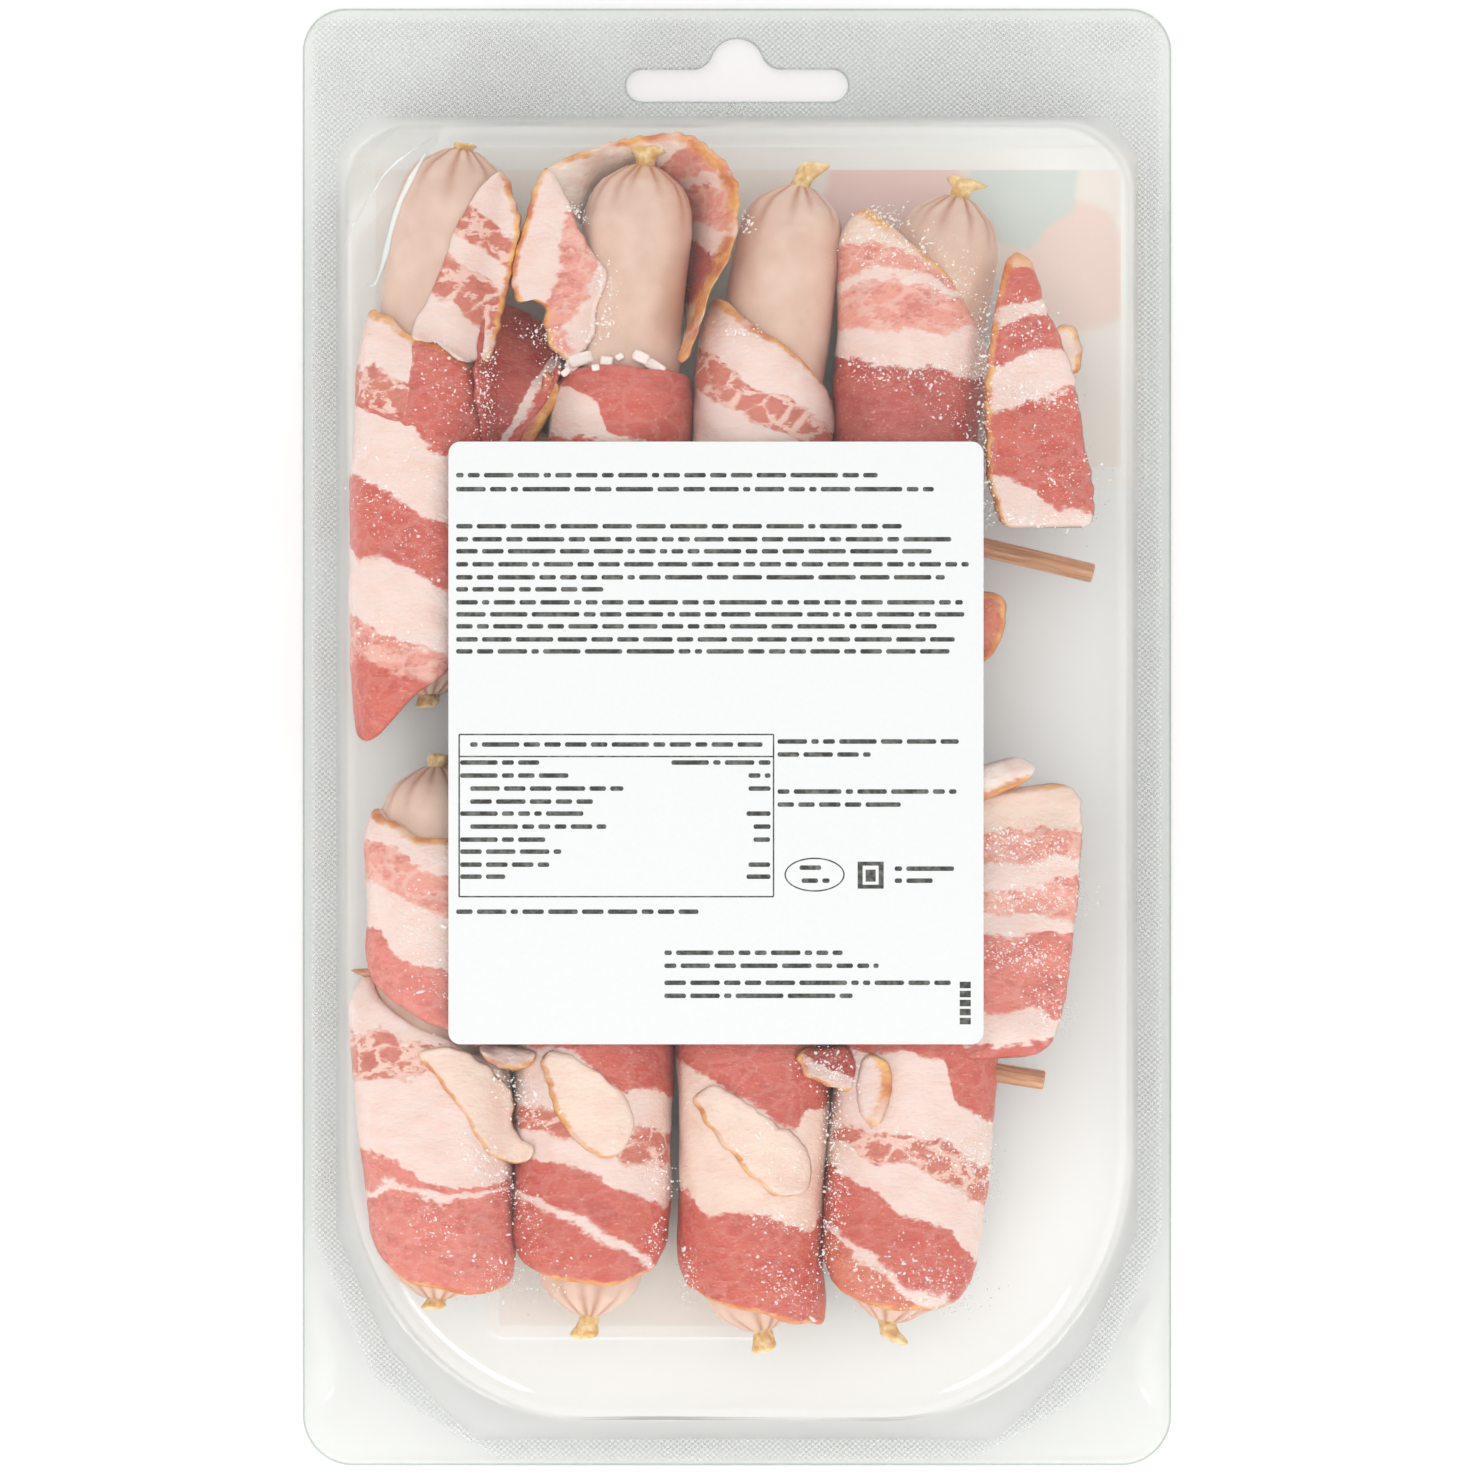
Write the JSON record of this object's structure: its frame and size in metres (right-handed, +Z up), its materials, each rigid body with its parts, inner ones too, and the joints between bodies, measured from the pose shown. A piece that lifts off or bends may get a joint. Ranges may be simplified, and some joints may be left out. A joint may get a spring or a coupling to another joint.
{
  "type": "pack of sausage skewers",
  "caption": "Sealed clear tray pack lying on its flat film side, with bacon-wrapped sausages on wooden skewers showing through its floor, plain labels and a hang hole.",
  "frame": {"origin": "middle of the pack's footprint, on the surface that it lies on", "axes": "+Y towards the hang hole, +Z up out of the tray's floor with the back label, +X to the right as seen from above"},
  "size_m": [0.155, 0.26, 0.0282],
  "materials": {
    "tray_sheet": "clear deep-drawn plastic sheet, faintly milky, with a knurled seal",
    "lid_film": "clear, smooth lid film",
    "label_paper": null,
    "skewer_wood": "bare turned wood, damp and darkened by the meat",
    "sausage_casing": "pale fine sausage meat in a moist thin casing",
    "bacon": "moist streaky bacon, bands of lean and pale fat, golden smoked rind edge"
  },
  "bodies": {
    "root": {"tray": "tray_sheet", "lid_film": "lid_film", "front_label": "label_paper", "front_label_small": "label_paper", "back_label": "label_paper", "skewer_upper": "skewer_wood", "skewer_lower": "skewer_wood", "sausage_upper_1": "sausage_casing", "sausage_upper_2": "sausage_casing", "sausage_upper_3": "sausage_casing", "sausage_upper_4": "sausage_casing", "sausage_lower_1": "sausage_casing", "sausage_lower_2": "sausage_casing", "sausage_lower_3": "sausage_casing", "sausage_lower_4": "sausage_casing", "bacon_wrap_upper_1": "bacon", "bacon_wrap_upper_2": "bacon", "bacon_wrap_upper_3": "bacon", "bacon_wrap_upper_4": "bacon", "bacon_wrap_lower_1_top": "bacon", "bacon_wrap_lower_1": "bacon", "bacon_wrap_lower_2": "bacon", "bacon_wrap_lower_3": "bacon", "bacon_wrap_lower_4": "bacon", "bacon_strip_upper_1": "bacon", "bacon_hood_upper_2": "bacon", "bacon_flap_upper_2": "bacon", "bacon_fold_upper_middle": "bacon", "bacon_end_upper_right": "bacon", "bacon_tip_upper_right": "bacon", "bacon_edge_upper_right": "bacon", "bacon_tongue_lower_1": "bacon", "bacon_tongue_lower_2": "bacon", "bacon_fold_lower_3": "bacon", "bacon_flap_lower_3_4": "bacon", "bacon_flap_lower_4": "bacon", "bacon_end_lower_right": "bacon"}
  },
  "joints": []
}
